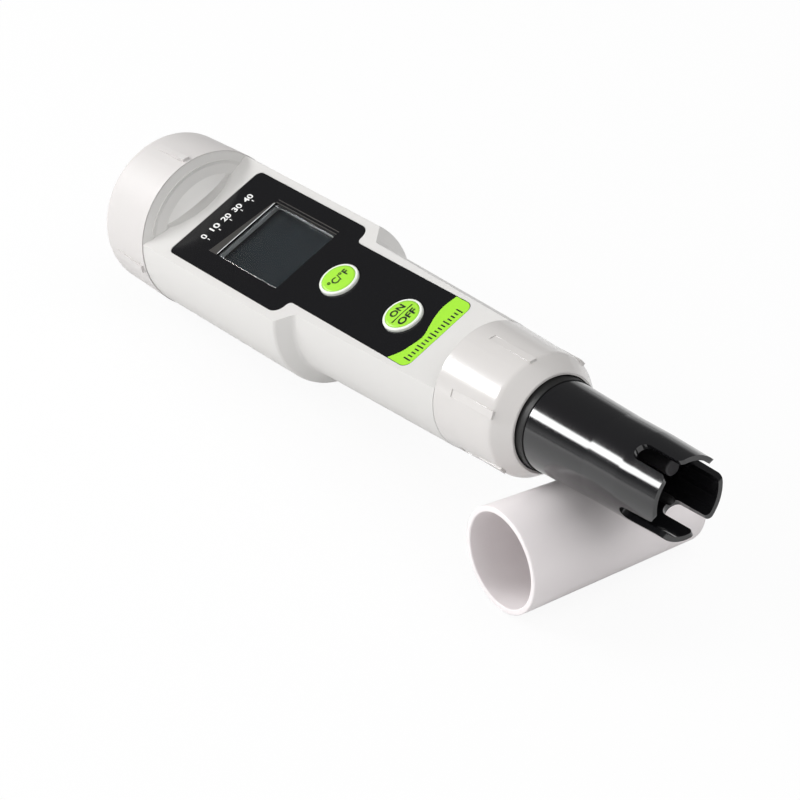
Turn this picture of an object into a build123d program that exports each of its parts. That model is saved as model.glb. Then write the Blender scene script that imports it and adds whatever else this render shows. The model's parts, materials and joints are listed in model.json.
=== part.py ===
from build123d import *
import os
from math import acos, atan2, cos, degrees, hypot, radians, sqrt

os.makedirs("parts", exist_ok=True)

# A pen-shaped salinity meter lying on its own protective cap, which has been pulled off the probe.
# Sizes are in millimetres. Every piece of the meter is drawn in the meter's own frame: +X runs
# along its axis to the probe tip, +Z stands square to the panel, x = 0 is the battery cap's rear
# rim. Angles round the axis start at +Y and turn towards +Z. The last section lays the pieces down.

# Clearances
turn_gap = 0.3          # round a piece that screws or slides in another
guide_gap = 0.08        # round a pin, stem or plunger that runs in its hole
seat_gap = 0.05         # round a piece that is pressed or glued into its seat
end_gap = 0.2           # between end faces that come together when a thread is tight
seam_gap = 0.1          # in the two seams that show, at the screw cap and at the collar

# Screw cap over the batteries
cap_back_x = -0.8
seam_x = 16.2
cap_back_r = 18.5
cap_seam_r = 19.0
cap_bore_r = 17.3
cap_floor = 2.0
cap_edge_r = 1.8
cap_rib_back_x = 3.0
cap_rib_end_x = 15.2
cap_rib_height = 0.65
cap_rib_width = 1.7
cap_rib_angles = (80, 170, 260, 350)

# Housing: a round head with a flat front, stepped down to a slimmer grip
head_r = 18.8
step_x = 67.8
step_length = 3.2
step_outer_r = 1.2
step_inner_r = 1.6
grip_back_r = 15.5
grip_front_r = 14.5
shoulder_x = 118.5
flat_height = 9.5
flat_edge_r = 0.6
head_wall = 2.4
grip_wall = 1.8
flat_wall = 2.0
neck_end_x = 6.0
neck_wall = 2.0
spigot_length = 12.6
spigot_wall = 1.5

# Half-moon shoulder between the screw cap and the flat front: a turned crescent, and before it a
# shallow turned cone whose front wall is round in plan
brow_x = 18.0
brow_r = 14.1
brow_lens_x = 21.6
brow_lens_r = 11.7
brow_plan_x = 6.4
brow_plan_r = 14.85
brow_wall = 2.4

# Front panel
panel_back_x = 24.3
panel_front_x = 107.8
panel_head_half = 14.4
panel_grip_half = 10.2
panel_step_x = 66.5
panel_thickness = 0.5
panel_sunk = 0.1
panel_back_corner_r = 1.6
panel_front_corner_r = 2.0
panel_step_outer_r = 2.8
panel_step_inner_r = 1.25
window_back_x = 36.9
window_front_x = 59.9
window_half = 9.3
window_corner_r = 0.8
window_set_back = 0.3
window_thickness = 1.0

# Push buttons
units_x = 72.4
power_x = 95.2
button_r = 4.6
button_proud = 0.6
button_travel = 0.5
button_flange = 1.1
button_flange_thickness = 0.7
button_face_inset = 0.6
button_face_depth = 0.3
button_edge_r = 0.35

# Display, board and what they sit on
lcd_length = 29.0
lcd_side_gap = 1.7
lcd_thickness = 2.2
lcd_frame_wall = 1.2
lcd_frame_lip = 0.6
board_thickness = 1.6
board_top = 3.0
board_side_gap = 1.4
board_back_x = 31.5
board_front_x = 112.5
zebra_width = 1.6
switch_size = 6.0
switch_floor = 0.6
plunger_r = 1.1
chassis_floor_gap = 2.7
chassis_foot_gap = 0.6
chassis_side = 5.0
chassis_wall = 1.5
chassis_corner_ease = 0.4
rail_half_gap = 4.0
rail_width = 2.0
screw_r = 1.0
screw_hole_gap = 0.2
screw_head_r = 1.9
screw_head = 1.2
screw_length = 6.0
boss_r = 2.5
boss_length = 8.0
screw_edge_gap = 3.3
board_screw_xs = (66.6, 108.4)

# Chips under the board
controller_x = 55.0
controller_size = 10.0
controller_height = 1.5
amplifier_x = 42.5
driver_x = 80.5
driver_y = -2.0
chip_length = 5.0
chip_width = 4.0
chip_height = 1.3
memory_x = 89.0
memory_y = 3.0
memory_size = 4.0

# Batteries and what holds them
cell_r = 5.8
cell_height = 5.4
cell_count = 4
cell_bore_gap = 0.2
cell_rim = 0.9
cells_proud = 2.2
holder_wall = 0.8
holder_end_wall = 1.4
bulkhead_x = 20.0
bulkhead_thickness = 2.0
contact_plate_r = 5.0
contact_plate_thickness = 0.5
spring_thickness = 0.3
spring_half_width = 2.0
spring_half_height = 4.6
spring_length = 3.6
spring_tip = 1.2
spring_heel = 0.7
gasket_thickness = 0.8
gasket_width = 1.8

# Calibration trimmer, reached with the screw cap off
trimmer_size = 5.4
trimmer_depth = 4.0
trimmer_z = -11.0
trimmer_rotor_r = 1.5
trimmer_rotor_length = 1.6
trimmer_rotor_proud = 0.6
trimmer_slot_width = 0.5
trimmer_slot_depth = 0.6

# Locking collar
collar_back_x = shoulder_x + seam_gap
collar_rim_x = 136.1
collar_hole_x = 140.3
collar_back_r = 14.45
collar_rim_r = 13.8
collar_hole_r = 10.6
collar_rim_fillet = 2.2
collar_lip = 0.5
collar_bore_r = 12.7
collar_rib_back_x = 123.5
collar_rib_r = 14.1
collar_rib_width = 1.7
collar_rib_depth = 1.8
collar_rib_proud = 0.5
collar_rib_angles = (15, 75, 135, 195, 255, 315)

# Sensor tube
tube_base_x = 142.4
tube_tip_x = 180.7
tube_base_r = 10.1
tube_land_x = 160.0
tube_land_length = 9.4
tube_land_r = 9.5
tube_tip_r = 9.15
tube_tip_wall = 1.1
tube_flange_length = 3.0
tube_back_wall = 2.0
tube_back_gap = 1.5
tube_seat_r = 9.3
tube_seat_length = 8.0
slot_x = 170.4
slot_width = 4.0
slot_turn = 1.5
slot_corner_r = 1.2
slot_count = 4
carrier_face_x = 160.0
carrier_length = 8.0
rod_r = 1.85
rod_y = 4.0
rod_z = 0.6
rod_tip_x = 172.6
rod_socket = 6.0
thermistor_r = 1.0
thermistor_z = -4.9
thermistor_tip_x = 174.2
ring_section_r = 0.75
ring_setting = 3.0
plug_length = 3.5
pin_r = 0.4
pin_spacing = 2.54
pin_count = 4
pin_length = 9.0
pin_seat = 3.0
lead_r = 0.45
socket_length = 8.5
socket_height = 4.0
socket_overhang = 4.0
socket_floor = 1.0

# Protective cap, lying under the probe tube
sheath_length = 46.0
sheath_mouth_r = 11.7
sheath_end_r = 10.4
sheath_wall = 1.1
sheath_mouth_bore_r = 10.4
sheath_mouth_land = 6.0
sheath_end_wall = 1.5
sheath_edge_r = 1.6
sheath_heading = 3.1
crossing_x = 149.9
crossing_from_mouth = 21.4
crossing_gap = 0.5

# How the meter lies
meter_roll = 22.7


def cap_r(x):
    """Radius of the screw cap's outside at x."""
    return cap_back_r + (cap_seam_r - cap_back_r) * (x - cap_back_x) / (seam_x - cap_back_x)


def collar_r(x):
    """Radius of the collar's outside at x."""
    return collar_back_r + (collar_rim_r - collar_back_r) * (x - collar_back_x) / (collar_rim_x - collar_back_x)


def turn(*outline, mode=Mode.ADD):
    """Turns a closed outline of (x, radius) points round the meter's axis."""
    with BuildSketch(Plane.XZ) as section:
        with BuildLine():
            Polyline(*outline, close=True)
        make_face()
    revolve(section.sketch, axis=Axis.X, mode=mode)


def disc(x_low, x_high, radius, mode=Mode.ADD):
    """A round slab on the meter's axis."""
    turn((x_low, 0), (x_high, 0), (x_high, radius), (x_low, radius), mode=mode)


def ring(x_low, x_high, r_inner, r_outer, mode=Mode.ADD):
    """A flat-faced ring on the meter's axis."""
    turn((x_low, r_inner), (x_high, r_inner), (x_high, r_outer), (x_low, r_outer), mode=mode)


def rod(x_low, x_high, y, z, radius, mode=Mode.ADD):
    """A round bar parallel to the meter's axis."""
    with BuildSketch(Plane.YZ.offset(x_low)) as section:
        with Locations((y, z)):
            Circle(radius)
    extrude(section.sketch, amount=x_high - x_low, mode=mode)


def block(x_low, x_high, y_low, y_high, z_low, z_high, mode=Mode.ADD):
    """A square-cornered bar between six faces."""
    with BuildSketch(Plane.XY.offset(z_low)) as section:
        with Locations(((x_low + x_high) / 2, (y_low + y_high) / 2)):
            Rectangle(x_high - x_low, y_high - y_low)
    extrude(section.sketch, amount=z_high - z_low, mode=mode)


def panel_outline(height, margin):
    """The front panel's outline, grown by a margin, as a sketch at a height above the axis."""
    back_r, outer_r = panel_back_corner_r + margin, panel_step_outer_r + margin
    inner_r, front_r = panel_step_inner_r - margin, panel_front_corner_r + margin
    with BuildSketch(Plane.XY.offset(height)) as outline:
        with BuildLine():
            FilletPolyline(
                (panel_back_x - margin, panel_head_half + margin),
                (panel_step_x + margin, panel_head_half + margin),
                (panel_step_x + margin, panel_grip_half + margin),
                (panel_front_x + margin, panel_grip_half + margin),
                (panel_front_x + margin, -panel_grip_half - margin),
                (panel_step_x + margin, -panel_grip_half - margin),
                (panel_step_x + margin, -panel_head_half - margin),
                (panel_back_x - margin, -panel_head_half - margin),
                radius=[back_r, outer_r, inner_r, front_r, front_r, inner_r, outer_r, back_r],
                close=True,
            )
        make_face()
    return outline.sketch


def button_outline(x, height, margin):
    """A button's outline, grown by a margin, as a sketch at a height above the axis."""
    with BuildSketch(Plane.XY.offset(height)) as outline:
        with Locations((x, 0)):
            Circle(button_r + margin)
    return outline.sketch


def window_outline(height, margin):
    """The display window's outline, grown by a margin, as a sketch at a height above the axis."""
    with BuildSketch(Plane.XY.offset(height)) as outline:
        with Locations(((window_back_x + window_front_x) / 2, 0)):
            RectangleRounded(window_front_x - window_back_x + 2 * margin, 2 * (window_half + margin),
                             window_corner_r + margin)
    return outline.sketch


# Screw cap
gasket_x = neck_end_x - end_gap - gasket_thickness
cap_floor_x = cap_back_x + cap_floor
neck_r = cap_bore_r - turn_gap
neck_bore_r = neck_r - neck_wall
with BuildPart() as cap_rib:
    with BuildSketch(Plane.XZ) as rib_side:
        with BuildLine():
            Polyline((cap_rib_back_x, cap_r(cap_rib_back_x) - 0.6), (cap_rib_end_x, cap_r(cap_rib_end_x) - 0.6),
                     (cap_rib_end_x, cap_r(cap_rib_end_x) + cap_rib_height), (cap_rib_back_x, cap_r(cap_rib_back_x)),
                     close=True)
        make_face()
    extrude(rib_side.sketch, amount=cap_rib_width / 2, both=True)

with BuildPart() as battery_cap:
    turn((cap_back_x, 0), (cap_back_x, cap_back_r), (seam_x - seam_gap, cap_seam_r), (seam_x - seam_gap, 0))
    fillet(battery_cap.edges().filter_by(GeomType.CIRCLE).group_by(Axis.X)[0], cap_edge_r)
    with Locations(*(Location((0, 0, 0), (angle - 90, 0, 0)) for angle in cap_rib_angles)):
        add(cap_rib.part)
    disc(gasket_x, seam_x, cap_bore_r, mode=Mode.SUBTRACT)
    disc(cap_floor_x, gasket_x, cap_bore_r - gasket_width - seat_gap, mode=Mode.SUBTRACT)
    ring(cap_floor_x, cap_floor_x + contact_plate_thickness, contact_plate_r + turn_gap,
         contact_plate_r + turn_gap + 1.2)
battery_cap.part.label = "battery_cap"

# Sealing ring and contact plate: they travel with the cap but don't turn against the neck and cells
with BuildPart() as cap_gasket:
    ring(gasket_x, gasket_x + gasket_thickness, cap_bore_r - gasket_width, cap_bore_r - turn_gap)
cap_gasket.part.label = "cap_gasket"

with BuildPart() as contact_plate:
    disc(cap_floor_x, cap_floor_x + contact_plate_thickness, contact_plate_r)
contact_plate.part.label = "contact_plate"

# Housing
inner_head_r = head_r - head_wall
inner_grip_r = grip_front_r - grip_wall
panel_low = flat_height - panel_sunk - panel_thickness
cavity_top = panel_low - flat_wall
board_half_width = inner_grip_r - board_side_gap
chassis_floor = chassis_floor_gap - inner_grip_r
chassis_floor_half = sqrt(inner_grip_r ** 2 - chassis_floor ** 2) - chassis_foot_gap
screw_y = board_half_width - screw_edge_gap
bulkhead_front_x = bulkhead_x + bulkhead_thickness
waist_x = step_x + step_length
spigot_r = collar_bore_r - turn_gap
spigot_bore_r = spigot_r - spigot_wall
spigot_end_x = shoulder_x + spigot_length
with BuildPart() as brow:
    turn((brow_x, 0), (brow_x, brow_r), (brow_lens_x, brow_lens_r), (brow_lens_x, 0))
    with BuildSketch(Plane.XY) as brow_plan:
        with Locations((brow_plan_x, 0)):
            Circle(brow_plan_r)
    extrude(brow_plan.sketch, amount=head_r, mode=Mode.INTERSECT)
    turn((seam_x - 1, 0), (seam_x - 1, head_r), (seam_x, head_r), (brow_x, brow_r), (brow_x, 0))

with BuildPart() as flat_cut:
    block(seam_x, spigot_end_x, -head_r - 1, head_r + 1, flat_height, cap_seam_r + 1)
    add(brow.part, mode=Mode.SUBTRACT)

with BuildPart() as cavity:
    disc(seam_x - brow_wall / 2, bulkhead_front_x, neck_bore_r)
    turn((bulkhead_front_x, 0), (bulkhead_front_x, neck_bore_r), (bulkhead_front_x + 1.4, inner_head_r),
         (step_x - head_wall, inner_head_r), (waist_x - head_wall, inner_grip_r),
         (shoulder_x, inner_grip_r), (shoulder_x, 0))
    block(seam_x - brow_wall / 2, shoulder_x + 1, -head_r, head_r, cavity_top, head_r, mode=Mode.SUBTRACT)
    for side in (1, -1):
        y_near = side * rail_half_gap
        y_far = side * (rail_half_gap + rail_width)
        block(bulkhead_front_x, shoulder_x, min(y_near, y_far), max(y_near, y_far),
              -head_r, chassis_floor, mode=Mode.SUBTRACT)
    disc(neck_end_x - 1, seam_x - brow_wall / 2, neck_bore_r)
    disc(shoulder_x, spigot_end_x + 1, spigot_bore_r)

with BuildPart() as housing:
    with BuildSketch(Plane.XZ) as housing_side:
        with BuildLine():
            FilletPolyline((seam_x, head_r), (step_x, head_r), (waist_x, grip_back_r), (shoulder_x, grip_front_r),
                           radius=[step_outer_r, step_inner_r])
            Polyline((shoulder_x, grip_front_r), (shoulder_x, 0), (seam_x, 0), (seam_x, head_r))
        make_face()
    revolve(housing_side.sketch, axis=Axis.X)
    add(flat_cut.part, mode=Mode.SUBTRACT)
    disc(neck_end_x, seam_x + 1, neck_r)
    disc(shoulder_x - 1, spigot_end_x, spigot_r)
    add(cavity.part, mode=Mode.SUBTRACT)
    extrude(panel_outline(flat_height, seat_gap), amount=-panel_sunk - panel_thickness, mode=Mode.SUBTRACT)
    extrude(window_outline(flat_height, 0), amount=-flat_height + cavity_top - 0.5, mode=Mode.SUBTRACT)
    for x in (units_x, power_x):
        extrude(button_outline(x, flat_height, guide_gap), amount=-flat_height + cavity_top - 0.5, mode=Mode.SUBTRACT)
housing.part.label = "housing"


# Front panel, and the clear window set back in its opening
with BuildPart() as front_panel:
    extrude(panel_outline(panel_low, 0), amount=panel_thickness)
    extrude(window_outline(panel_low - 1, 0), amount=panel_thickness + 2, mode=Mode.SUBTRACT)
    for x in (units_x, power_x):
        extrude(button_outline(x, panel_low - 1, guide_gap), amount=panel_thickness + 2, mode=Mode.SUBTRACT)
front_panel.part.label = "front_panel"

with BuildPart() as display_window:
    extrude(window_outline(panel_low + panel_thickness - window_set_back, -seat_gap), amount=-window_thickness)
display_window.part.label = "display_window"

# Push buttons: a white key with a green face let into it, and the plunger that it works
button_top = flat_height + button_proud
flange_low = cavity_top - button_flange_thickness
switch_top = flange_low - button_travel - seat_gap
board_low = board_top - board_thickness


def push_button(x):
    """A key's body, flanged under the housing's wall, with a shallow recess for its face."""
    with BuildPart() as key:
        extrude(button_outline(x, flange_low, 0), amount=button_top - flange_low)
        fillet(key.edges().group_by(Axis.Z)[-1], button_edge_r)
        extrude(button_outline(x, flange_low, button_flange), amount=button_flange_thickness)
        extrude(button_outline(x, button_top - button_face_depth, -button_face_inset), amount=1, mode=Mode.SUBTRACT)
    return key.part


def button_face(x):
    """The coloured face that fills a key's recess."""
    with BuildPart() as face:
        extrude(button_outline(x, button_top - button_face_depth, -button_face_inset - seat_gap),
                amount=button_face_depth)
    return face.part


def switch_body(x):
    """A tact switch on the board, bored for its plunger."""
    with BuildPart() as switch:
        block(x - switch_size / 2, x + switch_size / 2, -switch_size / 2, switch_size / 2,
              board_top, switch_top)
        with Locations((x, 0, switch_top)):
            Hole(plunger_r + guide_gap, depth=switch_top - board_top - switch_floor)
    return switch.part


def switch_plunger(x):
    """The plunger that stands in a tact switch, under the key."""
    with BuildPart() as plunger:
        with BuildSketch(Plane.XY.offset(flange_low)) as section:
            with Locations((x, 0)):
                Circle(plunger_r)
        extrude(amount=-(switch_top - board_top - switch_floor))
    return plunger.part


units_button = push_button(units_x)
units_button.label = "units_button"
units_face = button_face(units_x)
units_face.label = "units_face"
units_switch = switch_body(units_x)
units_switch.label = "units_switch"
units_plunger = switch_plunger(units_x)
units_plunger.label = "units_plunger"
power_button = push_button(power_x)
power_button.label = "power_button"
power_face = button_face(power_x)
power_face.label = "power_face"
power_switch = switch_body(power_x)
power_switch.label = "power_switch"
power_plunger = switch_plunger(power_x)
power_plunger.label = "power_plunger"

# Display: a glass cell in a dark frame under the window, joined to the board by rubber strips
lcd_mid_x = (window_back_x + window_front_x) / 2
lcd_half = sqrt(inner_head_r ** 2 - cavity_top ** 2) - lcd_side_gap - lcd_frame_wall
lcd_top = cavity_top - lcd_frame_lip
lcd_low = lcd_top - lcd_thickness
lcd_back_x = lcd_mid_x - lcd_length / 2
lcd_front_x = lcd_mid_x + lcd_length / 2
with BuildPart() as display_frame:
    block(lcd_back_x - lcd_frame_wall, lcd_front_x + lcd_frame_wall, -lcd_half - lcd_frame_wall,
          lcd_half + lcd_frame_wall, board_top, cavity_top)
    block(lcd_back_x, lcd_front_x, -lcd_half, lcd_half, board_top, lcd_top, mode=Mode.SUBTRACT)
    extrude(window_outline(board_top, 0), amount=cavity_top, mode=Mode.SUBTRACT)
display_frame.part.label = "display_frame"

with BuildPart() as display_glass:
    block(lcd_back_x + seat_gap, lcd_front_x - seat_gap, -lcd_half + seat_gap, lcd_half - seat_gap,
          lcd_low, lcd_top)
display_glass.part.label = "display_glass"

with BuildPart() as zebra_strips:
    for side in (1, -1):
        y_outer = side * (lcd_half - seat_gap)
        y_inner = side * (lcd_half - seat_gap - zebra_width)
        block(lcd_back_x + 1, lcd_front_x - 1, min(y_inner, y_outer), max(y_inner, y_outer), board_top, lcd_low)
zebra_strips.part.label = "zebra_strips"

# Circuit board with its chips, seated on the chassis and held by screws
with BuildPart() as main_board:
    block(board_back_x, board_front_x, -board_half_width, board_half_width, board_low, board_top)
    with Locations(*((x, y, board_top) for x in board_screw_xs for y in (screw_y, -screw_y))):
        Hole(screw_r + screw_hole_gap)
main_board.part.label = "main_board"

with BuildPart() as board_chips:
    for x, y, length, width, height in (
            (controller_x, 0, controller_size, controller_size, controller_height),
            (amplifier_x, 0, chip_length, chip_width, chip_height),
            (driver_x, driver_y, chip_length, chip_width, chip_height),
            (memory_x, memory_y, memory_size, memory_size, chip_height)):
        block(x - length / 2, x + length / 2, y - width / 2, y + width / 2, board_low - height, board_low)
board_chips.part.label = "board_chips"

with BuildPart() as board_screws:
    with Locations(*((x, y, 0) for x in board_screw_xs for y in (screw_y, -screw_y))):
        with Locations((0, 0, board_top + screw_head / 2)):
            Cylinder(screw_head_r, screw_head)
        with Locations((0, 0, board_top - screw_length / 2)):
            Cylinder(screw_r, screw_length)
board_screws.part.label = "board_screws"

side_low = board_low - chassis_side
inner_low = side_low + chassis_corner_ease
inner_half = board_half_width - chassis_wall
floor_half = chassis_floor_half - chassis_wall / 2
with BuildPart() as chassis:
    with BuildSketch(Plane.YZ.offset(bulkhead_front_x)) as trough:
        with BuildLine():
            Polyline((-board_half_width, board_low), (-board_half_width, side_low), (-chassis_floor_half, chassis_floor),
                     (chassis_floor_half, chassis_floor), (board_half_width, side_low), (board_half_width, board_low),
                     (inner_half, board_low), (inner_half, inner_low), (floor_half, chassis_floor + chassis_wall),
                     (-floor_half, chassis_floor + chassis_wall), (-inner_half, inner_low), (-inner_half, board_low),
                     close=True)
        make_face()
    extrude(amount=board_front_x - bulkhead_front_x)
    with Locations(*((x, y, board_low - boss_length / 2) for x in board_screw_xs for y in (screw_y, -screw_y))):
        Cylinder(boss_r, boss_length)
    with Locations(*((x, y, board_low) for x in board_screw_xs for y in (screw_y, -screw_y))):
        Hole(screw_r + seat_gap, depth=screw_length)
chassis.part.label = "chassis"

# Battery holder: a tube for the cells through a bulkhead, with a spring at its closed end
cell_bore_r = cell_r + cell_bore_gap
holder_r = cell_bore_r + holder_wall
cells_back_x = cap_floor_x + contact_plate_thickness + seat_gap
cells_front_x = cells_back_x + cell_count * (cell_height + seat_gap)
holder_back_x = cells_back_x + cells_proud
holder_front_x = cells_front_x + spring_length + holder_end_wall
with BuildPart() as battery_holder:
    disc(holder_back_x, holder_front_x, holder_r)
    disc(bulkhead_x, bulkhead_front_x, neck_bore_r - seat_gap)
    block(bulkhead_x, holder_front_x, -head_r, head_r, cavity_top, head_r, mode=Mode.SUBTRACT)
    disc(holder_back_x - 1, holder_front_x - holder_end_wall, cell_bore_r, mode=Mode.SUBTRACT)
battery_holder.part.label = "battery_holder"

with BuildPart() as button_cells:
    for index in range(cell_count):
        low = cells_back_x + index * (cell_height + seat_gap)
        with BuildSketch(Plane.XZ) as cell_side:
            with BuildLine():
                Polyline((low, 0), (low, cell_r - cell_rim), (low + cell_rim, cell_r - cell_rim), (low + cell_rim, cell_r),
                         (low + cell_height, cell_r), (low + cell_height, 0), close=True)
            make_face()
        revolve(cell_side.sketch, axis=Axis.X)
button_cells.part.label = "button_cells"

spring_end_x = cells_front_x + spring_length
with BuildPart() as battery_spring:
    with BuildSketch(Plane.XZ) as spring_side:
        with BuildLine():
            Polyline((spring_end_x, -spring_half_height), (spring_end_x, spring_half_height),
                     (spring_end_x - spring_heel, spring_half_height), (cells_front_x, spring_tip),
                     (cells_front_x, -spring_tip), (cells_front_x + spring_heel, -2 * spring_tip),
                     (cells_front_x + spring_heel + spring_thickness, -2 * spring_tip),
                     (cells_front_x + spring_thickness, -spring_tip), (cells_front_x + spring_thickness, spring_tip),
                     (spring_end_x - spring_heel, spring_half_height - spring_thickness),
                     (spring_end_x - spring_thickness, spring_half_height - spring_thickness),
                     (spring_end_x - spring_thickness, -spring_half_height), close=True)
        make_face()
    extrude(spring_side.sketch, amount=spring_half_width, both=True)
battery_spring.part.label = "battery_spring"

# Calibration trimmer on the bulkhead, its slotted rotor facing the battery end
rotor_x = bulkhead_x - trimmer_depth
with BuildPart() as trimmer_body:
    block(rotor_x, bulkhead_x, -trimmer_size / 2, trimmer_size / 2, trimmer_z - trimmer_size / 2,
          trimmer_z + trimmer_size / 2)
    rod(rotor_x - 1, rotor_x + trimmer_rotor_length - trimmer_rotor_proud, 0, trimmer_z, trimmer_rotor_r + guide_gap,
        mode=Mode.SUBTRACT)
trimmer_body.part.label = "trimmer_body"

with BuildPart() as trimmer_rotor:
    rod(rotor_x - trimmer_rotor_proud, rotor_x + trimmer_rotor_length - trimmer_rotor_proud, 0, trimmer_z, trimmer_rotor_r)
    block(rotor_x - 1, rotor_x - trimmer_rotor_proud + trimmer_slot_depth, -trimmer_slot_width / 2, trimmer_slot_width / 2,
          trimmer_z - 3, trimmer_z + 3, mode=Mode.SUBTRACT)
trimmer_rotor.part.label = "trimmer_rotor"

# Locking collar, captive on the sensor's flange
flange_back_x = spigot_end_x + end_gap
flange_front_x = flange_back_x + tube_flange_length
collar_seat_x = flange_front_x + end_gap
collar_rib_length = collar_rim_x + collar_rib_proud - collar_rib_back_x
collar_rib_mid_x = collar_rib_back_x + collar_rib_length / 2
with BuildPart() as locking_collar:
    with BuildSketch(Plane.XZ) as collar_side:
        with BuildLine():
            FilletPolyline((collar_back_x, collar_back_r), (collar_rim_x, collar_rim_r),
                           (collar_hole_x, collar_hole_r + collar_lip), (collar_hole_x, collar_hole_r),
                           radius=[collar_rim_fillet, 0.3])
            Polyline((collar_hole_x, collar_hole_r), (collar_seat_x, collar_hole_r), (collar_seat_x, collar_bore_r),
                     (collar_back_x, collar_bore_r), (collar_back_x, collar_back_r))
        make_face()
    revolve(collar_side.sketch, axis=Axis.X)
    for angle in collar_rib_angles:
        with Locations(Location((0, 0, 0), (angle - 90, 0, 0))):
            with Locations((collar_rib_mid_x, 0, collar_rib_r + 1)):
                Box(collar_rib_length, collar_rib_width, 2, mode=Mode.SUBTRACT)
            with Locations((collar_rib_mid_x, 0, collar_rib_r - collar_rib_depth / 2)):
                Box(collar_rib_length, collar_rib_width, collar_rib_depth)
    disc(collar_back_x - 1, collar_seat_x, collar_bore_r, mode=Mode.SUBTRACT)
locking_collar.part.label = "locking_collar"

# Sensor: a plug end in the housing's spigot with a flange, and the slotted tube glued into it
tube_back_x = shoulder_x + tube_back_gap
tube_back_r = spigot_bore_r - turn_gap
ring_x = tube_back_x + ring_setting
land_end_x = tube_land_x + tube_land_length
tip_bore_r = tube_tip_r - tube_tip_wall
carrier_back_x = carrier_face_x - carrier_length
tube_seat_x = tube_base_x - tube_seat_length
with BuildPart() as slot_cutter:
    with BuildSketch(Plane.XY) as slot_plan:
        with Locations((slot_x + slot_width / 2, 0)):
            Circle(slot_width / 2)
        with Locations(((slot_x + slot_width / 2 + tube_tip_x) / 2, 0)):
            Rectangle(tube_tip_x - slot_x - slot_width / 2, slot_width)
        with Locations((tube_tip_x + 1, 0)):
            Rectangle(2, slot_width + 4 * slot_corner_r)
        fillet([v for v in slot_plan.vertices() if abs(v.X - tube_tip_x) < 0.01 and abs(abs(v.Y) - slot_width / 2) < 0.01],
               slot_corner_r)
    extrude(slot_plan.sketch, amount=tube_base_r + 2)

with BuildPart() as sensor_base:
    turn((tube_back_x, 0), (tube_back_x, tube_back_r), (flange_back_x, tube_back_r),
         (flange_back_x, collar_bore_r - turn_gap), (flange_front_x, collar_bore_r - turn_gap),
         (flange_front_x, collar_hole_r - turn_gap), (tube_base_x, collar_hole_r - turn_gap), (tube_base_x, 0))
    ring(ring_x, ring_x + 2 * ring_section_r, tube_back_r - ring_section_r, tube_back_r + 1, mode=Mode.SUBTRACT)
    disc(tube_back_x - 1, tube_seat_x, tube_back_r - tube_back_wall, mode=Mode.SUBTRACT)
    disc(tube_seat_x - 0.1, tube_base_x + 1, tube_seat_r, mode=Mode.SUBTRACT)
sensor_base.part.label = "sensor_base"

with BuildPart() as probe_tube:
    turn((tube_seat_x, 0), (tube_seat_x, tube_seat_r - seat_gap), (tube_base_x, tube_seat_r - seat_gap),
         (tube_base_x, tube_base_r), (tube_land_x, tube_land_r), (land_end_x, tube_land_r),
         (tube_tip_x, tube_tip_r), (tube_tip_x, 0))
    disc(tube_seat_x - 1, tube_tip_x + 1, tip_bore_r, mode=Mode.SUBTRACT)
    with Locations(*(Location((0, 0, 0), (slot_turn + 360 / slot_count * n, 0, 0)) for n in range(slot_count))):
        add(slot_cutter.part, mode=Mode.SUBTRACT)
probe_tube.part.label = "probe_tube"

with BuildPart() as sensor_ring:
    ring(ring_x + seat_gap, ring_x + 2 * ring_section_r - seat_gap, tube_back_r - ring_section_r + seat_gap,
         spigot_bore_r - guide_gap)
sensor_ring.part.label = "sensor_ring"

with BuildPart() as electrode_carrier:
    disc(carrier_back_x, carrier_face_x, tip_bore_r - seat_gap)
    for side in (1, -1):
        rod(carrier_face_x - rod_socket, carrier_face_x + 1, side * rod_y, rod_z, rod_r + seat_gap, mode=Mode.SUBTRACT)
    rod(carrier_face_x - rod_socket, carrier_face_x + 1, 0, thermistor_z, thermistor_r + seat_gap, mode=Mode.SUBTRACT)
electrode_carrier.part.label = "electrode_carrier"

with BuildPart() as electrode_rods:
    for side in (1, -1):
        rod(carrier_face_x - rod_socket, rod_tip_x, side * rod_y, rod_z, rod_r)
    fillet(electrode_rods.edges().group_by(Axis.X)[-1], 0.4)
electrode_rods.part.label = "electrode_rods"

with BuildPart() as temperature_probe:
    rod(carrier_face_x - rod_socket, thermistor_tip_x, 0, thermistor_z, thermistor_r)
    fillet(temperature_probe.edges().group_by(Axis.X)[-1], thermistor_r * 0.85)
temperature_probe.part.label = "temperature_probe"

pin_ys = [pin_spacing * (n - (pin_count - 1) / 2) for n in range(pin_count)]
pin_z = board_low - socket_height / 2
pin_front_x = tube_back_x + pin_seat
plug_r = tube_back_r - tube_back_wall - seat_gap
with BuildPart() as sensor_plug:
    disc(tube_back_x, tube_back_x + plug_length, plug_r)
    for y in pin_ys:
        rod(tube_back_x - 1, pin_front_x, y, pin_z, pin_r + seat_gap / 2, mode=Mode.SUBTRACT)
sensor_plug.part.label = "sensor_plug"

with BuildPart() as sensor_pins:
    for y in pin_ys:
        rod(pin_front_x - pin_length, pin_front_x, y, pin_z, pin_r)
sensor_pins.part.label = "sensor_pins"

with BuildPart() as sensor_leads:
    for y in pin_ys:
        rod(tube_back_x + plug_length, carrier_back_x, y, pin_z, lead_r)
sensor_leads.part.label = "sensor_leads"

socket_front_x = board_front_x + socket_overhang
with BuildPart() as sensor_socket:
    block(socket_front_x - socket_length, socket_front_x, -pin_spacing * pin_count / 2, pin_spacing * pin_count / 2,
          board_low - socket_height, board_low)
    for y in pin_ys:
        rod(socket_front_x - socket_length + socket_floor, socket_front_x + 1, y, pin_z, pin_r + guide_gap, mode=Mode.SUBTRACT)
sensor_socket.part.label = "sensor_socket"

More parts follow.
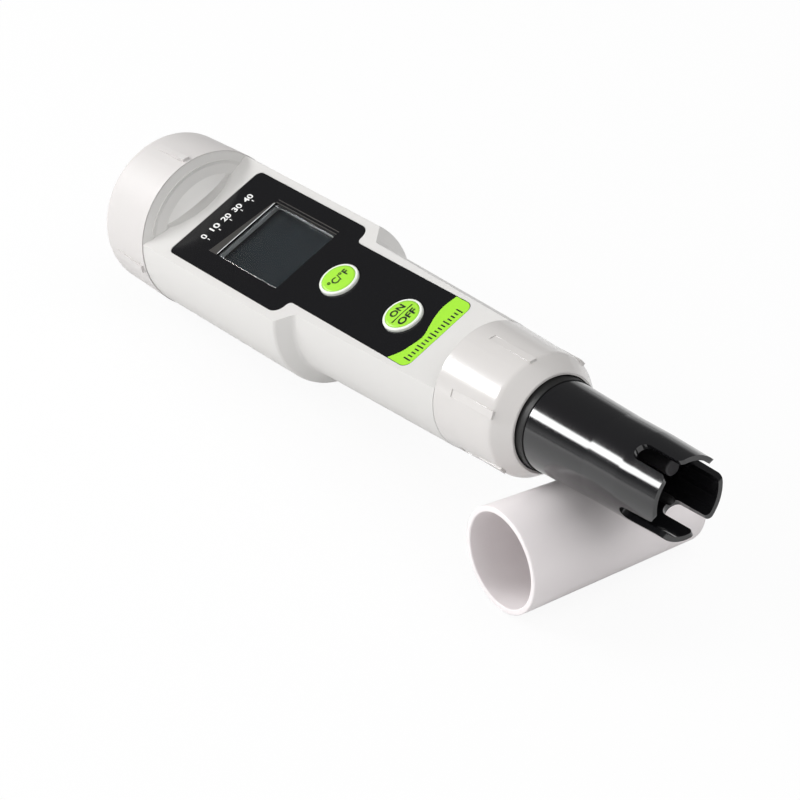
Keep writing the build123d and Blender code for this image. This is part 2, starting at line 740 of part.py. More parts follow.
# Protective cap, drawn in its own frame: its mouth is at the origin and +X runs to its closed end
with BuildPart() as probe_cap:
    turn((0, 0), (0, sheath_mouth_r), (sheath_length, sheath_end_r), (sheath_length, 0))
    fillet(probe_cap.edges().filter_by(GeomType.CIRCLE).group_by(Axis.X)[-1], sheath_edge_r)
    turn((-1, 0), (-1, sheath_mouth_bore_r), (sheath_mouth_land, sheath_mouth_bore_r),
         (sheath_length - sheath_end_wall, sheath_end_r - sheath_wall), (sheath_length - sheath_end_wall, 0),
         mode=Mode.SUBTRACT)
    fillet(probe_cap.edges().filter_by(GeomType.CIRCLE).group_by(Axis.X)[0], 0.3)
probe_cap.part.label = "probe_cap"

# Lay the meter down: its cap end on the table, its probe leaning on the protective cap
sheath_tilt = degrees(atan2(sheath_mouth_r - sheath_end_r, sheath_length))
sheath_r_at_crossing = sheath_mouth_r - (sheath_mouth_r - sheath_end_r) * crossing_from_mouth / sheath_length
tube_r_at_crossing = tube_base_r + (tube_land_r - tube_base_r) * (crossing_x - tube_base_x) / (tube_land_x - tube_base_x)
lean_height = 2 * sheath_r_at_crossing * cos(radians(sheath_tilt)) + crossing_gap
lean_arm = hypot(crossing_x, cap_back_r - tube_r_at_crossing)
meter_tilt = degrees(atan2(crossing_x, cap_back_r - tube_r_at_crossing) - acos(lean_height / lean_arm))
leaning = Rotation(0, -meter_tilt, 0) * Rotation(meter_roll, 0, 0)
axis_height = -(leaning * battery_cap.part).bounding_box().min.Z
meter_lay = Pos(0, 0, axis_height) * leaning
sheath_lay = (Pos(crossing_x, 0, sheath_mouth_r * cos(radians(sheath_tilt))) * Rotation(0, 0, 90 - sheath_heading)
              * Pos(-crossing_from_mouth, 0, 0) * Rotation(0, sheath_tilt, 0))
outer = Compound([meter_lay * battery_cap.part, meter_lay * housing.part, meter_lay * probe_tube.part,
                  sheath_lay * probe_cap.part]).bounding_box()
to_centre = Pos(-outer.center().X, -outer.center().Y, -outer.min.Z)
meter_place = to_centre * meter_lay
sheath_place = to_centre * sheath_lay
print(f"tilt {meter_tilt:.6f}, axis height {axis_height:.6f}, shift {to_centre.position.X:.6f} {to_centre.position.Y:.6f}")

meter_pieces = [
    battery_cap.part, cap_gasket.part, contact_plate.part, housing.part, front_panel.part, display_window.part,
    units_button, units_face, units_switch, units_plunger, power_button, power_face, power_switch, power_plunger,
    display_frame.part, display_glass.part, zebra_strips.part, main_board.part, board_chips.part,
    board_screws.part, chassis.part, battery_holder.part, button_cells.part, battery_spring.part,
    trimmer_body.part, trimmer_rotor.part, locking_collar.part, sensor_base.part, probe_tube.part, sensor_ring.part,
    electrode_carrier.part, electrode_rods.part, temperature_probe.part, sensor_plug.part, sensor_pins.part,
    sensor_leads.part, sensor_socket.part,
]
for piece in meter_pieces:
    export_step(meter_place * piece, f"parts/{piece.label}.step")
export_step(sheath_place * probe_cap.part, "parts/probe_cap.step")
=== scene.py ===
# %% [markdown]
# # A pen-shaped salinity meter, resting on its own probe cap
#
# The meter is a pale grey moulded tube. One end is a screw cap over the batteries, the other a
# locking collar that holds a black probe tube. A glossy black panel with a display and two green
# keys lies on its flat front. The cap that guards the probe has been pulled off and lies on the
# table, and the probe leans on it. The solids come from the CAD model and are already in place;
# here they get their finish, their fine forms, the light and the camera.

# %% Load the model
import json
import math

import bmesh
import bpy
from mathutils import Matrix, Vector


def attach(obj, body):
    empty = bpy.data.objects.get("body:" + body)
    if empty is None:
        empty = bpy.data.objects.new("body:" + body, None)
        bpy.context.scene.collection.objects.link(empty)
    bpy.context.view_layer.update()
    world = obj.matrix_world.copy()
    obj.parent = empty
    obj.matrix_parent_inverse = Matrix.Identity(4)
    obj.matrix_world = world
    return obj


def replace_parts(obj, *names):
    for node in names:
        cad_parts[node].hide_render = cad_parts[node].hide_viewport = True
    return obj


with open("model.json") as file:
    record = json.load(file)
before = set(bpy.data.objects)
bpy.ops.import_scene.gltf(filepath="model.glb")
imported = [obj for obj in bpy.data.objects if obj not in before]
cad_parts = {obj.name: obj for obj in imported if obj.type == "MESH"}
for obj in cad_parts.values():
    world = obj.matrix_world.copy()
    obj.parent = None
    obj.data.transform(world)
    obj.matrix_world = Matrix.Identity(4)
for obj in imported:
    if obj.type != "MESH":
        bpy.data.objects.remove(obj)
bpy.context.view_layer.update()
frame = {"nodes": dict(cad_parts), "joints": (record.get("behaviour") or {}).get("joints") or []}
nodes = frame["nodes"]

# %% [markdown]
# The meter lies tilted and rolled, so nothing on it is square to the world. Its joints know where
# it points: the collar turns about the long axis, and the keys are pressed square to the panel.
# From these two directions comes one matrix that turns millimetres in the meter's own frame, with
# +X towards the probe tip and +Z out of the panel, into metres in the world.

# %% Find the meter's own frame
joints = {joint["name"]: joint for joint in frame["joints"]}


def own_frame(origin, along, up):
    """A matrix from millimetres on an axis `along`, with +Z near `up`, to metres in the world."""
    along = Vector(along).normalized()
    across = Vector(up).cross(along).normalized()
    upright = along.cross(across)
    turn = Matrix((along, across, upright)).transposed().to_4x4()
    return Matrix.Translation(origin) @ turn @ Matrix.Scale(0.001, 4)


collar_joint_x = 130.0
along_meter = Vector(joints["collar_turn"]["axis"])
out_of_panel = -Vector(joints["units_press"]["axis"])
meter_origin = Vector(joints["collar_turn"]["pos_m"]) - along_meter * collar_joint_x / 1000
METER = own_frame(meter_origin, along_meter, out_of_panel)
print("tilt of the meter in degrees:", round(math.degrees(math.asin(along_meter.z)), 2))

# %% [markdown]
# The camera looks down at the meter from its probe end, through a long lens, so that both ends
# keep nearly the same size.

# %% Camera
view_azimuth = 52.559
view_elevation = 33.686
view_roll = -0.2
view_distance = 0.67002
view_target = Vector((0.0032, -0.0049, 0.0137))
lens_mm = 139.39

camera = bpy.data.objects.new("camera", bpy.data.cameras.new("camera"))
bpy.context.scene.collection.objects.link(camera)
camera.data.sensor_width = 36
camera.data.lens = lens_mm
camera.data.clip_start = 0.05
camera.data.clip_end = 20
azimuth, elevation = math.radians(view_azimuth), math.radians(view_elevation)
backwards = Vector((math.sin(azimuth) * math.cos(elevation), -math.cos(azimuth) * math.cos(elevation),
                    math.sin(elevation)))
camera.rotation_mode = "QUATERNION"
camera.rotation_quaternion = (-backwards).to_track_quat("-Z", "Y")
camera.rotation_quaternion @= Matrix.Rotation(math.radians(view_roll), 3, "Z").to_quaternion()
camera.location = view_target + backwards * view_distance
bpy.context.scene.camera = camera

# %% [markdown]
# The light of a product table. A low softbox behind the battery end gives the crisp streak along the
# probe and the collar, a weaker one on the near side opens the shell's round side, and a broad one
# above lights the faces that look towards the probe tip. The room is white low down and dark
# overhead, as a studio is, so that the black panel mirrors the dark ceiling and stays black, while
# round black parts show the white table along their lower side.

# %% Light, room and floor
def lamp(name, way, distance, size, watts, colour=(1, 1, 1), mirrored=True):
    """A square softbox, seen from the object along `way`, pointed back at it."""
    aim = Vector((0.03, 0.0, 0.02))
    data = bpy.data.lights.new(name, "AREA")
    data.shape = "RECTANGLE"
    data.size, data.size_y = size
    data.energy = watts
    data.color = colour
    made = bpy.data.objects.new(name, data)
    bpy.context.scene.collection.objects.link(made)
    made.location = aim + Vector(way).normalized() * distance
    made.rotation_mode = "QUATERNION"
    made.rotation_quaternion = (-Vector(way)).to_track_quat("-Z", "Y")
    made.visible_glossy = mirrored
    return made


lamp("softbox_behind", (-0.73, -0.50, 0.44), 0.9, (0.50, 0.18), 4.6)
lamp("softbox_near", (-0.05, -0.95, 0.30), 0.9, (0.6, 0.3), 2.4, mirrored=False)
lamp("fill_above", (0.35, 0.15, 0.9), 0.9, (1.0, 1.0), 5.0, mirrored=False)


def linked(tree, kind, **values):
    """Adds a node to a tree and sets its properties."""
    node = tree.nodes.new(kind)
    for key, value in values.items():
        setattr(node, key, value)
    return node


room_light = 0.48
ceiling_shine = 0.14
world = bpy.data.worlds.new("white_room")
bpy.context.scene.world = world
world.use_nodes = True
tree = world.node_tree
tree.nodes.clear()
path = linked(tree, "ShaderNodeLightPath")
seen = linked(tree, "ShaderNodeMath", operation="MAXIMUM")
seen_too = linked(tree, "ShaderNodeMath", operation="MAXIMUM")
strength = linked(tree, "ShaderNodeMapRange")
strength.inputs["To Min"].default_value = room_light
strength.inputs["To Max"].default_value = 1.0
way = linked(tree, "ShaderNodeTexCoord")
height = linked(tree, "ShaderNodeSeparateXYZ")
ceiling = linked(tree, "ShaderNodeMapRange")
ceiling.inputs["From Min"].default_value = -0.02
ceiling.inputs["From Max"].default_value = 0.20
ceiling.inputs["To Min"].default_value = 1.0
ceiling.inputs["To Max"].default_value = ceiling_shine
mirrored_room = linked(tree, "ShaderNodeMix", data_type="FLOAT")
mirrored_room.inputs["A"].default_value = 1.0
total = linked(tree, "ShaderNodeMath", operation="MULTIPLY")
background = linked(tree, "ShaderNodeBackground")
output = linked(tree, "ShaderNodeOutputWorld")
tree.links.new(path.outputs["Is Camera Ray"], seen.inputs[0])
tree.links.new(path.outputs["Is Glossy Ray"], seen.inputs[1])
tree.links.new(seen.outputs[0], seen_too.inputs[0])
tree.links.new(path.outputs["Is Transmission Ray"], seen_too.inputs[1])
tree.links.new(seen_too.outputs[0], strength.inputs["Value"])
tree.links.new(way.outputs["Generated"], height.inputs[0])
tree.links.new(height.outputs["Z"], ceiling.inputs["Value"])
tree.links.new(path.outputs["Is Glossy Ray"], mirrored_room.inputs["Factor"])
tree.links.new(ceiling.outputs["Result"], mirrored_room.inputs["B"])
tree.links.new(strength.outputs["Result"], total.inputs[0])
tree.links.new(mirrored_room.outputs["Result"], total.inputs[1])
tree.links.new(total.outputs[0], background.inputs["Strength"])
tree.links.new(background.outputs[0], output.inputs["Surface"])

floor_size = 4.0
bm = bmesh.new()
bmesh.ops.create_grid(bm, x_segments=1, y_segments=1, size=floor_size)
floor_mesh = bpy.data.meshes.new("floor")
bm.to_mesh(floor_mesh)
bm.free()
floor = bpy.data.objects.new("floor", floor_mesh)
bpy.context.scene.collection.objects.link(floor)
floor_material = bpy.data.materials.new("white_table")
floor_material.use_nodes = True
tree = floor_material.node_tree
tree.nodes.clear()
path = linked(tree, "ShaderNodeLightPath")
matt = linked(tree, "ShaderNodeBsdfDiffuse")
matt.inputs["Color"].default_value = (0.82, 0.82, 0.82, 1)
glow = linked(tree, "ShaderNodeEmission")
glow.inputs["Color"].default_value = (1, 1, 1, 1)
share = linked(tree, "ShaderNodeMapRange")
share.inputs["To Min"].default_value = 0.0
share.inputs["To Max"].default_value = 0.92
mix = linked(tree, "ShaderNodeMixShader")
output = linked(tree, "ShaderNodeOutputMaterial")
tree.links.new(path.outputs["Is Camera Ray"], share.inputs["Value"])
tree.links.new(share.outputs["Result"], mix.inputs["Fac"])
tree.links.new(matt.outputs[0], mix.inputs[1])
tree.links.new(glow.outputs[0], mix.inputs[2])
tree.links.new(mix.outputs[0], output.inputs["Surface"])
floor.data.materials.append(floor_material)
bpy.context.scene.view_settings.view_transform = "Standard"

# %% [markdown]
# Moulded plastic is never one flat colour. The mould's surface leaves a fine grain, the colour
# drifts a little from place to place, and hands polish it unevenly. One node group holds this
# effect, so that every plastic here can use it with its own values.

# %% The effect group for moulded surfaces
def group_socket(group, name, kind, way, default=None):
    """Adds a named socket to a node group's interface."""
    socket = group.interface.new_socket(name=name, in_out=way, socket_type=kind)
    if default is not None:
        socket.default_value = default
    return socket


moulded = bpy.data.node_groups.new("Moulded Surface", "ShaderNodeTree")
group_socket(moulded, "Colour", "NodeSocketColor", "INPUT", (0.8, 0.8, 0.8, 1))
group_socket(moulded, "Drift", "NodeSocketFloat", "INPUT", 0.03)
group_socket(moulded, "Roughness", "NodeSocketFloat", "INPUT", 0.4)
group_socket(moulded, "Polish", "NodeSocketFloat", "INPUT", 0.05)
group_socket(moulded, "Grain Scale", "NodeSocketFloat", "INPUT", 2500.0)
group_socket(moulded, "Grain Depth", "NodeSocketFloat", "INPUT", 0.05)
group_socket(moulded, "Colour", "NodeSocketColor", "OUTPUT")
group_socket(moulded, "Roughness", "NodeSocketFloat", "OUTPUT")
group_socket(moulded, "Normal", "NodeSocketVector", "OUTPUT")
inside = linked(moulded, "NodeGroupInput")
outside = linked(moulded, "NodeGroupOutput")
place = linked(moulded, "ShaderNodeTexCoord")
patches = linked(moulded, "ShaderNodeTexNoise")
patches.inputs["Scale"].default_value = 45.0
patches.inputs["Detail"].default_value = 3.0
centred = linked(moulded, "ShaderNodeMath", operation="SUBTRACT")
centred.inputs[1].default_value = 0.5
drift = linked(moulded, "ShaderNodeMath", operation="MULTIPLY")
shade = linked(moulded, "ShaderNodeMath", operation="ADD")
shade.inputs[1].default_value = 1.0
tinted = linked(moulded, "ShaderNodeVectorMath", operation="SCALE")
rubbed = linked(moulded, "ShaderNodeTexNoise")
rubbed.inputs["Scale"].default_value = 120.0
rubbed.inputs["Detail"].default_value = 4.0
rubbed_centred = linked(moulded, "ShaderNodeMath", operation="SUBTRACT")
rubbed_centred.inputs[1].default_value = 0.5
polish = linked(moulded, "ShaderNodeMath", operation="MULTIPLY_ADD")
grain = linked(moulded, "ShaderNodeTexNoise")
grain.inputs["Detail"].default_value = 2.0
bump = linked(moulded, "ShaderNodeBump")
bump.inputs["Distance"].default_value = 0.0001
links = moulded.links
for texture in (patches, rubbed, grain):
    links.new(place.outputs["Object"], texture.inputs["Vector"])
links.new(patches.outputs["Fac"], centred.inputs[0])
links.new(centred.outputs[0], drift.inputs[0])
links.new(inside.outputs["Drift"], drift.inputs[1])
links.new(drift.outputs[0], shade.inputs[0])
links.new(inside.outputs["Colour"], tinted.inputs[0])
links.new(shade.outputs[0], tinted.inputs["Scale"])
links.new(tinted.outputs[0], outside.inputs["Colour"])
links.new(rubbed.outputs["Fac"], rubbed_centred.inputs[0])
links.new(rubbed_centred.outputs[0], polish.inputs[0])
links.new(inside.outputs["Polish"], polish.inputs[1])
links.new(inside.outputs["Roughness"], polish.inputs[2])
links.new(polish.outputs[0], outside.inputs["Roughness"])
links.new(inside.outputs["Grain Scale"], grain.inputs["Scale"])
links.new(grain.outputs["Fac"], bump.inputs["Height"])
links.new(inside.outputs["Grain Depth"], bump.inputs["Strength"])
links.new(bump.outputs["Normal"], outside.inputs["Normal"])


# %% Finishes
def finish(name, colour, roughness, drift=0.03, polish=0.05, grain=2500.0, depth=0.05, **sockets):
    """A material of the moulded surface group, with constants set on the shader's own sockets."""
    material = bpy.data.materials.new(name)
    material.use_nodes = True
    tree = material.node_tree
    shader = tree.nodes["Principled BSDF"]
    surface = linked(tree, "ShaderNodeGroup", node_tree=moulded)
    surface.inputs["Colour"].default_value = (*colour, 1)
    surface.inputs["Drift"].default_value = drift
    surface.inputs["Roughness"].default_value = roughness
    surface.inputs["Polish"].default_value = polish
    surface.inputs["Grain Scale"].default_value = grain
    surface.inputs["Grain Depth"].default_value = depth
    tree.links.new(surface.outputs["Colour"], shader.inputs["Base Color"])
    tree.links.new(surface.outputs["Roughness"], shader.inputs["Roughness"])
    tree.links.new(surface.outputs["Normal"], shader.inputs["Normal"])
    for socket, value in sockets.items():
        shader.inputs[socket.replace("_", " ")].default_value = value
    return material


shell_plastic = finish("pale_grey_shell", (0.63, 0.62, 0.605), 0.42, polish=0.12, depth=0.10)
cap_plastic = finish("screw_cap_shell", (0.61, 0.59, 0.58), 0.5, polish=0.10, depth=0.08)
collar_plastic = finish("glossy_collar_shell", (0.62, 0.60, 0.585), 0.20, polish=0.06, depth=0.02,
                        Coat_Weight=0.5, Coat_Roughness=0.12)
panel_film = finish("black_panel_film", (0.006, 0.006, 0.007), 0.14, depth=0.01)
probe_plastic = finish("black_probe_plastic", (0.008, 0.008, 0.009), 0.14, polish=0.08, depth=0.03,
                       IOR=1.5, Coat_Weight=0.6, Coat_Roughness=0.05)
sheath_plastic = finish("probe_cap_plastic", (0.86, 0.815, 0.82), 0.30, depth=0.03)
key_plastic = finish("white_key_plastic", (0.80, 0.82, 0.76), 0.35)
key_green = finish("green_key_face", (0.34, 0.72, 0.045), 0.32)
display_glass = finish("display_glass", (0.026, 0.034, 0.040), 0.12, depth=0.0)
matt_black = finish("matt_black_plastic", (0.012, 0.012, 0.012), 0.5)
rubber = finish("black_rubber", (0.012, 0.012, 0.012), 0.7)
strip_rubber = finish("pink_strip_rubber", (0.5, 0.22, 0.22), 0.6)
inner_plastic = finish("inner_grey_plastic", (0.5, 0.5, 0.49), 0.5)
board_green = finish("board_green", (0.012, 0.13, 0.04), 0.35)
chip_epoxy = finish("chip_epoxy", (0.02, 0.02, 0.022), 0.5)
trimmer_blue = finish("trimmer_blue", (0.02, 0.08, 0.42), 0.4)
graphite = finish("grey_electrode", (0.06, 0.058, 0.062), 0.38)
steel = finish("plated_steel", (0.60, 0.60, 0.60), 0.25, Metallic=1.0)
brass = finish("plated_brass", (0.72, 0.52, 0.20), 0.25, Metallic=1.0)
window_clear = finish("clear_window", (0.9, 0.93, 0.95), 0.08, depth=0.0, Transmission_Weight=1.0, IOR=1.45)

node_finish = {
    "battery_cap": cap_plastic, "housing": shell_plastic, "locking_collar": collar_plastic,
    "front_panel": panel_film, "display_window": window_clear, "display_glass": display_glass,
    "display_frame": matt_black, "units_button": key_plastic, "power_button": key_plastic,
    "units_face": key_green, "power_face": key_green, "units_plunger": matt_black,
    "power_plunger": matt_black, "units_switch": chip_epoxy, "power_switch": chip_epoxy,
    "zebra_strips": strip_rubber, "cap_gasket": rubber, "sensor_ring": rubber, "contact_plate": steel,
    "battery_spring": steel, "board_screws": steel, "main_board": board_green, "board_chips": chip_epoxy,
    "chassis": inner_plastic, "battery_holder": inner_plastic, "button_cells": steel,
    "trimmer_body": trimmer_blue, "trimmer_rotor": brass, "sensor_pins": brass,
    "sensor_base": matt_black, "probe_tube": probe_plastic, "electrode_carrier": matt_black,
    "sensor_plug": matt_black,
    "sensor_socket": matt_black, "sensor_leads": rubber, "electrode_rods": graphite,
    "temperature_probe": matt_black, "probe_cap": sheath_plastic,
}
for name, material in node_finish.items():
    nodes[name].data.materials.clear()
    nodes[name].data.materials.append(material)

# %% [markdown]
# The fine forms ride on the meter's bodies. Each is drawn flat or simple, in millimetres in the
# meter's own frame, and its mesh is then carried to its place, so that every object stays at the
# origin. Heights and edges are read from the solids that carry the pieces.

# %% Helpers for the fine forms
def own_box(node):
    """A node's lowest and highest corners in the meter's own frame, in millimetres."""
    back = METER.inverted()
    points = [back @ vertex.co for vertex in nodes[node].data.vertices]
    return Vector(map(min, zip(*points))), Vector(map(max, zip(*points)))


def piece(name, bm, material, body, smooth=False, place=METER):
    """Carries a bmesh to its place, makes it an object and lets it ride on a body."""
    bmesh.ops.transform(bm, matrix=place, verts=bm.verts)
    bmesh.ops.recalc_face_normals(bm, faces=bm.faces)
    mesh = bpy.data.meshes.new(name)
    bm.to_mesh(mesh)
    bm.free()
    mesh.materials.append(material)
    for face in mesh.polygons:
        face.use_smooth = smooth
    made = bpy.data.objects.new(name, mesh)
    bpy.context.scene.collection.objects.link(made)
    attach(made, body)
    return made


def flat_mesh(curve):
    """The filled face of a flat curve or a word, as a bmesh."""
    holder = bpy.data.objects.new(curve.name, curve)
    bpy.context.scene.collection.objects.link(holder)
    mesh = bpy.data.meshes.new_from_object(holder)
    bpy.data.objects.remove(holder)
    bm = bmesh.new()
    bm.from_mesh(mesh)
    bpy.data.meshes.remove(mesh)
    bmesh.ops.remove_doubles(bm, verts=bm.verts, dist=0.0005)
    return bm


def raised(bm, height):
    """Gives a flat bmesh in the plane z = 0 a closed thickness."""
    made = bmesh.ops.extrude_face_region(bm, geom=bm.faces[:])
    bmesh.ops.translate(bm, verts=[v for v in made["geom"] if isinstance(v, bmesh.types.BMVert)],
                        vec=(0, 0, height))


def printed_plate(name, corners, z, material, body, height=0.03):
    """A thin printed shape from its corners (x, y) in the meter's frame."""
    bm = bmesh.new()
    bm.faces.new([bm.verts.new((x, y, 0)) for x, y in corners])
    raised(bm, height)
    bmesh.ops.translate(bm, verts=bm.verts, vec=(0, 0, z))
    return piece(name, bm, material, body)


def printed_bar(name, x_low, y_low, x_high, y_high, z, material, body, height=0.03):
    """A thin printed rectangle between two corners of the meter's frame."""
    corners = [(x_low, y_low), (x_high, y_low), (x_high, y_high), (x_low, y_high)]
    return printed_plate(name, corners, z, material, body, height)


def printed_word(name, text, x, y, z, width, height, material, body, bold=0.0):
    """A printed word centred on (x, y), which reads along +Y with its tops towards -X."""
    curve = bpy.data.curves.new(name, "FONT")
    curve.body = text
    curve.offset = bold
    bm = flat_mesh(curve)
    low = Vector(map(min, zip(*[v.co for v in bm.verts])))
    high = Vector(map(max, zip(*[v.co for v in bm.verts])))
    bmesh.ops.translate(bm, verts=bm.verts, vec=-(low + high) / 2)
    bmesh.ops.scale(bm, verts=bm.verts, vec=(width / (high.x - low.x), height / (high.y - low.y), 1))
    raised(bm, ink)
    bmesh.ops.rotate(bm, verts=bm.verts, cent=(0, 0, 0), matrix=Matrix.Rotation(math.pi / 2, 3, "Z"))
    bmesh.ops.translate(bm, verts=bm.verts, vec=(x, y, z))
    return piece(name, bm, material, body)


ink = 0.03
white_ink = finish("white_ink", (0.78, 0.78, 0.77), 0.4, depth=0.0)
black_ink = finish("black_ink", (0.012, 0.012, 0.014), 0.35, depth=0.0)
green_ink = finish("green_ink", (0.34, 0.72, 0.045), 0.22, depth=0.0)
panel_front, _, panel_top = own_box("front_panel")[1]
grip_half = 10.2
print_inset = 0.12

# %% [markdown]
# A bright green band closes the front end of the panel. Its back edge is a soft S, and its front
# follows the panel's rounded end.

# %% Green band
band_edge = [(101.4, -grip_half), (102.9, -7.7), (103.8, -4.7), (104.2, -2.0), (103.2, 0.8), (102.1, 3.6),
             (101.6, 6.6), (102.0, grip_half)]
band_corner = 2.0
quarter_circle_handle = 0.55


def green_band():
    """The band's outline: the S at the back, then the panel's front end with its two round corners."""
    curve = bpy.data.curves.new("green_band", "CURVE")
    curve.dimensions = "2D"
    curve.fill_mode = "BOTH"
    curve.resolution_u = 12
    edge = grip_half - print_inset
    front = panel_front - print_inset
    back = [(x, max(-edge, min(edge, y))) for x, y in band_edge]
    ends = [(front - band_corner, edge), (front, edge - band_corner), (front, -edge + band_corner),
            (front - band_corner, -edge)]
    points = back + ends
    spline = curve.splines.new("BEZIER")
    spline.bezier_points.add(len(points) - 1)
    spline.use_cyclic_u = True
    for bezier, (x, y) in zip(spline.bezier_points, points):
        bezier.co = (x, y, 0)
        bezier.handle_left_type = bezier.handle_right_type = "AUTO"
    first, last = len(back) - 1, len(points) - 1
    for index in (0, first):
        spline.bezier_points[index].handle_left_type = "VECTOR"
        spline.bezier_points[index].handle_right_type = "VECTOR"
    round_reach = band_corner * quarter_circle_handle
    corner_handles = ((first + 1, (-1, 0), (round_reach, 0)),
                      (first + 2, (0, round_reach), (0, -1)),
                      (first + 3, (0, 1), (0, -round_reach)),
                      (last, (round_reach, 0), (-1, 0)))
    for index, inward, outward in corner_handles:
        bezier = spline.bezier_points[index]
        bezier.handle_left_type = bezier.handle_right_type = "FREE"
        bezier.handle_left = bezier.co + Vector((*inward, 0))
        bezier.handle_right = bezier.co + Vector((*outward, 0))
    bm = flat_mesh(curve)
    raised(bm, ink)
    bmesh.ops.translate(bm, verts=bm.verts, vec=(0, 0, panel_top))
    return piece("green_band", bm, green_ink, "meter")


green_band()

# %% [markdown]
# Two neutral scales take the places of printed words: white numbers with ticks behind the display,
# and black ticks on the green band.

# %% Printed scales
scale_x = 28.9
scale_half = 6.9
scale_numbers = (0, 10, 20, 30, 40)
number_height = 1.9
one_figure_width, two_figure_width = 1.15, 2.4
number_bold = 0.02
tick_back_x, tick_front_x = 30.4, 31.2
tick_half = 0.1
for index, number in enumerate(scale_numbers):
    y = -scale_half + index * 2 * scale_half / (len(scale_numbers) - 1)
    width = one_figure_width if number < 10 else two_figure_width
    printed_word(f"scale_number_{number}", str(number), scale_x, y, panel_top, width, number_height,
                 white_ink, "meter", number_bold)
    printed_bar(f"scale_tick_{number}", tick_back_x, y - tick_half, tick_front_x, y + tick_half,
                panel_top, white_ink, "meter")
band_tick_x = 106.0
band_tick_count = 17
band_tick_low, band_tick_high = -8.2, 7.4
band_tick_half = 0.17
long_tick_every = 4
long_tick_reach, short_tick_reach = 1.05, 0.65
for index in range(band_tick_count):
    y = band_tick_low + index * (band_tick_high - band_tick_low) / (band_tick_count - 1)
    reach = long_tick_reach if index % long_tick_every == 0 else short_tick_reach
    printed_bar(f"band_tick_{index}", band_tick_x - reach, y - band_tick_half, band_tick_x + reach,
                y + band_tick_half, panel_top + ink, black_ink, "meter")

# %% [markdown]
# The display. A slate polariser lies on the glass, a little smaller than the window, and the window
# pane has slightly bevelled edges. A thin bright line along the window's back edge is a painted
# highlight, and a grey band on the panel behind the pane and two grey lines along its far side are painted
# reflection of a bevel.

# %% Display
polariser = finish("slate_polariser", (0.030, 0.040, 0.046), 0.22, drift=0.15, depth=0.0)
# Painted reflection: the grey of a bevel mirroring the room, laid flat on the black panel.
painted_reflection_grey = finish("painted_bevel_reflection", (0.045, 0.043, 0.040), 0.3, depth=0.0)
# Painted highlight: a light grey strip stands for the bright line a bevel catches.
painted_highlight_strip = finish("painted_bevel_highlight", (0.62, 0.63, 0.64), 0.25, depth=0.0)
window_low, window_high = own_box("display_window")
glass_top = own_box("display_glass")[1].z
polariser_inset = 1.1
polariser_thickness = 0.1
printed_bar("polariser", window_low.x + polariser_inset, window_low.y + polariser_inset,
            window_high.x - polariser_inset, window_high.y - polariser_inset,
            glass_top, polariser, "meter", polariser_thickness)


# A thin black lining hides the shell's pale edge round the pane.
lining = 0.2
lining_set_back = 0.05
window_frame = [(window_low.x, window_low.y, window_high.x, window_low.y + lining),
                (window_low.x, window_high.y - lining, window_high.x, window_high.y),
                (window_low.x, window_low.y + lining, window_low.x + lining, window_high.y - lining),
                (window_high.x - lining, window_low.y + lining, window_high.x, window_high.y - lining)]
lining_height = window_high.z - lining_set_back - window_low.z
for index, corners in enumerate(window_frame):
    printed_bar(f"window_lining_{index}", *corners, window_low.z, matt_black, "meter", lining_height)


pane_corner_r = 0.8
pane_bevel = 0.1


def window_pane():
    """The clear pane: a plate with its upright corners and its top edge bevelled."""
    bm = bmesh.new()
    bmesh.ops.create_cube(bm, size=1)
    size = window_high - window_low - Vector((2 * lining, 2 * lining, 0))
    bmesh.ops.scale(bm, verts=bm.verts, vec=size)
    upright = [e for e in bm.edges if abs(e.verts[0].co.z - e.verts[1].co.z) > size.z / 2]
    bmesh.ops.bevel(bm, geom=upright, offset=pane_corner_r, offset_type="OFFSET", segments=5, profile=0.5,
                    affect="EDGES", material=-1)
    top = [e for e in bm.edges if all(v.co.z > size.z / 2 - 0.001 for v in e.verts)]
    bmesh.ops.bevel(bm, geom=top, offset=pane_bevel, offset_type="OFFSET", segments=2, profile=0.5,
                    affect="EDGES", material=-1)
    bmesh.ops.translate(bm, verts=bm.verts, vec=(window_low + window_high) / 2)
    return piece("window_pane", bm, window_clear, "meter")


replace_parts(window_pane(), "display_window")
# Painted reflection: a grey band on the panel behind the pane.
grey_width = 3.0
grey_far_width = 0.6
grey_corners = [(window_low.x - grey_width, window_low.y), (window_low.x, window_low.y),
                (window_low.x, window_high.y), (window_low.x - grey_far_width, window_high.y)]
printed_plate("window_painted_reflection_band", grey_corners, panel_top, painted_reflection_grey, "meter")
line_width = 0.25
line_end_gap = 0.3
# Painted highlight: a light grey strip along the window's back edge.
printed_bar("window_painted_highlight_line", window_low.x - line_width, window_low.y + line_end_gap,
            window_low.x, window_high.y - line_end_gap, panel_top + ink, painted_highlight_strip, "meter")
# Two grey lines along the far side of the window are painted reflection of the bevel's edges.
for name, offset in (("window_far_painted_reflection_inner", 0.1), ("window_far_painted_reflection_outer", 0.9)):
    y = window_high.y + offset
    printed_bar(name, window_low.x, y, window_high.x, y + line_width, panel_top, painted_reflection_grey, "meter")

# %% [markdown]
# The keys have slightly domed green faces. The front key carries ON and OFF with a bar between, the
# back key the two units of temperature.

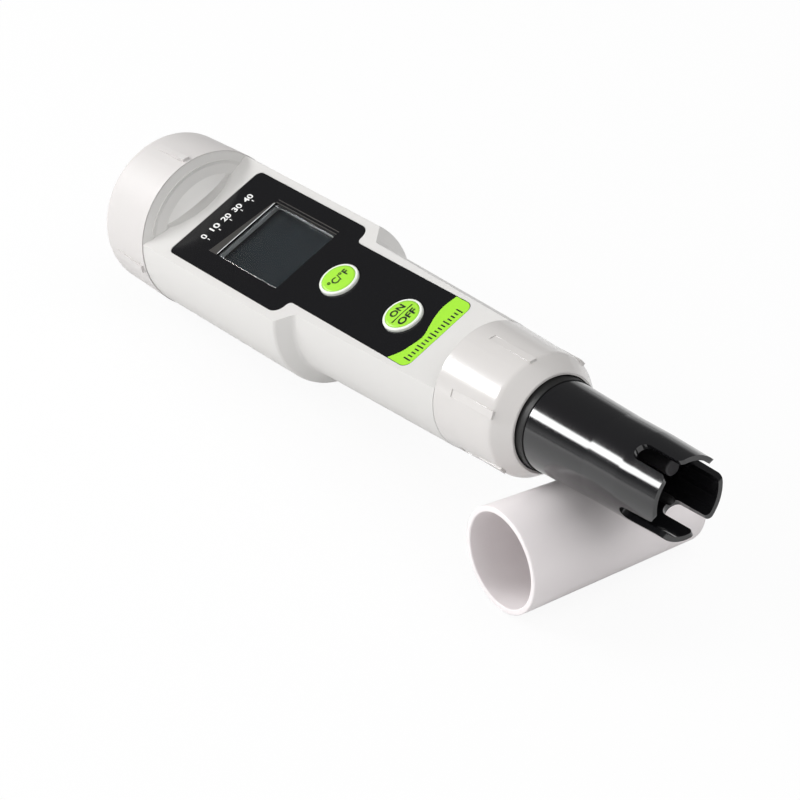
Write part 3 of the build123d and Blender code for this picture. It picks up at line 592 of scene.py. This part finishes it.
# %% Keys
face_dome = 0.18
face_sunk = 0.2
dome_steps = 8
key_print_height = 1.9
key_print_reach = 1.7
key_print_lift = 0.04
bar_half_width, bar_half_length = 0.12, 3.1
for key, body in (("units", "units_key"), ("power", "power_key")):
    face_low, face_high = own_box(key + "_face")
    centre = (face_low + face_high) / 2
    radius = (face_high.x - face_low.x) / 2
    bm = bmesh.new()
    profile = [bm.verts.new((radius, 0, -face_sunk))]
    for step in range(dome_steps + 1):
        r = radius * (dome_steps - step) / dome_steps
        profile.append(bm.verts.new((r, 0, face_dome * (1 - (r / radius) ** 2))))
    profile.append(bm.verts.new((0, 0, -face_sunk)))
    edges = [bm.edges.new(pair) for pair in zip(profile, profile[1:])]
    bmesh.ops.spin(bm, geom=profile + edges, cent=(0, 0, 0), axis=(0, 0, 1), angle=2 * math.pi, steps=64,
                   use_merge=True)
    bmesh.ops.remove_doubles(bm, verts=bm.verts, dist=0.001)
    bmesh.ops.dissolve_degenerate(bm, edges=bm.edges, dist=0.001)
    bmesh.ops.translate(bm, verts=bm.verts, vec=(centre.x, centre.y, face_high.z))
    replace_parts(piece(key + "_key_face", bm, key_green, body, smooth=True), key + "_face")
    print_z = face_high.z + face_dome
    if key == "units":
        printed_word("units_print", "\u00b0C/\u00b0F", centre.x, centre.y, print_z, 5.3, 2.2,
                     black_ink, body, 0.015)
    else:
        for name, text, side, width in (("on_print", "ON", -1, 3.8), ("off_print", "OFF", 1, 4.9)):
            printed_word(name, text, centre.x + side * key_print_reach, centre.y, print_z - key_print_lift,
                         width, key_print_height, black_ink, body, 0.03)
        printed_bar("key_bar", centre.x - bar_half_width, centre.y - bar_half_length,
                    centre.x + bar_half_width, centre.y + bar_half_length, print_z - ink, black_ink, body)

# %% [markdown]
# Screw threads run round the neck under the battery cap and round the spigot under the collar.

# %% Threads
thread_steps = 48


def thread(name, start, pitch, turns, radius, ridge, material, body):
    """A helical ridge on the meter's axis: a small triangle spun with a push along the axis."""
    bm = bmesh.new()
    sunk = 0.1
    corners = [(start - ridge, radius - sunk), (start, radius + ridge), (start + ridge, radius - sunk)]
    section = bm.faces.new([bm.verts.new((x, 0, r)) for x, r in corners])
    steps = round(thread_steps * turns)
    bmesh.ops.spin(bm, geom=[section, *section.edges, *section.verts], cent=(0, 0, 0), axis=(1, 0, 0),
                   dvec=(pitch / thread_steps, 0, 0), angle=2 * math.pi * turns, steps=steps,
                   use_duplicate=False)
    return piece(name, bm, material, body, smooth=True)


thread("neck_thread", 8.2, 2.5, 2.0, 17.0, 0.18, shell_plastic, "meter")
thread("spigot_thread", 120.6, 2.0, 3.5, 12.4, 0.18, shell_plastic, "meter")
